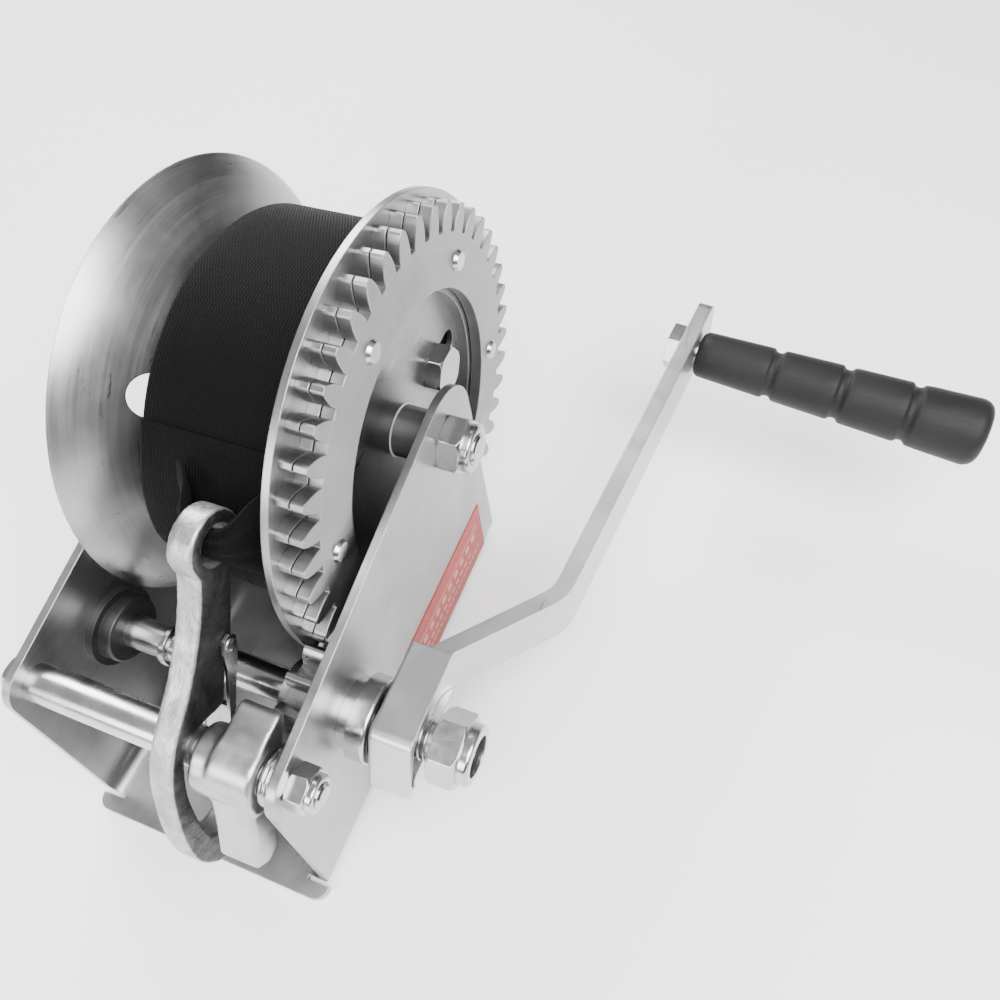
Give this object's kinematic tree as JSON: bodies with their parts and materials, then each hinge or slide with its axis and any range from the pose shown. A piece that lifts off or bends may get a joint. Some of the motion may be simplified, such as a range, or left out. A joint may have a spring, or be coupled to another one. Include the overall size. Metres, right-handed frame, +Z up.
{
  "type": "boat trailer winch",
  "caption": "Hand winch with a strap drum between two dished flanges, a ring gear driven by a pinion on a cranked handle, a two-way pawl, webbing strap and snap hook on a bent sheet frame.",
  "frame": {"origin": "centre of the base bolt pattern on the underside of the base", "axes": "+X along the shafts toward the crank, +Y along the base toward the drum, +Z up from the base"},
  "size_m": [0.2912, 0.27, 0.1784],
  "materials": {
    "zinc_sheet": "zinc-plated pressed sheet, satin",
    "gear_steel": "zinc-plated stamped plate, satin",
    "bright_zinc": "bright zinc plating",
    "shaft_steel": "turned steel, bright zinc",
    "galvanized_hook": "forged, galvanized, slightly rough",
    "cast_zinc": "cast, bright zinc plating",
    "dark_sleeve": "dark moulded sleeve, satin",
    "latch_steel": "thin spring steel",
    "webbing": "woven polyester webbing",
    "grip_rubber": "moulded rubber, matt",
    "label_red": "printed foil",
    "nylon": "nylon"
  },
  "bodies": {
    "frame": {"frame": "zinc_sheet", "label": "label_red", "pinion_bearing": "bright_zinc", "pinion_bushing": "dark_sleeve", "drum_spacer_right": "dark_sleeve", "drum_spacer_left": "dark_sleeve", "drum_bolt": "bright_zinc", "drum_nut": "bright_zinc", "drum_nut_insert": "nylon", "tie_bolt": "bright_zinc", "tie_nut": "bright_zinc", "tie_nut_insert": "nylon", "tie_tube": "bright_zinc", "pawl_spring": "shaft_steel", "hook_body": "galvanized_hook", "latch_pin": "bright_zinc", "strap_tail": "webbing"},
    "drum": {"drum_hub": "zinc_sheet", "drum_bushings": "nylon", "left_flange": "zinc_sheet", "right_flange": "zinc_sheet", "gear_plate_inner": "gear_steel", "gear_plate_outer": "gear_steel", "gear_rivets": "bright_zinc", "strap_roll": "webbing", "strap_bolt": "bright_zinc"},
    "crank": {"pinion": "gear_steel", "pinion_shaft": "shaft_steel", "shaft_collar": "shaft_steel", "crank_saddle": "bright_zinc", "crank_arm": "bright_zinc", "crank_nut": "bright_zinc", "crank_nut_insert": "nylon", "grip_bolt": "bright_zinc", "grip_nut": "bright_zinc"},
    "grip": {"grip": "grip_rubber"},
    "pawl": {"pawl": "cast_zinc"},
    "latch": {"hook_latch": "latch_steel"}
  },
  "joints": [
    {"name": "drum_spin", "type": "hinge", "parent": "frame", "child": "drum", "pos_m": [0, 0.0595, 0.096], "axis": [1, 0, 0], "continuous": true},
    {"name": "crank_spin", "type": "hinge", "parent": "frame", "child": "crank", "pos_m": [0, -0.03096, 0.06127], "axis": [1, 0, 0], "continuous": true},
    {"name": "grip_spin", "type": "hinge", "parent": "crank", "child": "grip", "pos_m": [0.11531, 0.16104, 0.06127], "axis": [0.9958, -0.0915, 0], "continuous": true},
    {"name": "pawl_flip", "type": "hinge", "parent": "frame", "child": "pawl", "pos_m": [0, -0.0615, 0.078], "axis": [1, 0, 0], "range_deg": [-14, 26]},
    {"name": "latch_hinge", "type": "hinge", "parent": "frame", "child": "latch", "pos_m": [0.0124, -0.03426, 0.09795], "axis": [-1, 0, 0], "range_deg": [0, 9], "stiffness_Nm_per_rad": 0.03, "springref_deg": -20.05}
  ],
  "couplings": [
    {"joint": "crank_spin", "follows": "drum_spin", "ratio": -3.75}
  ]
}
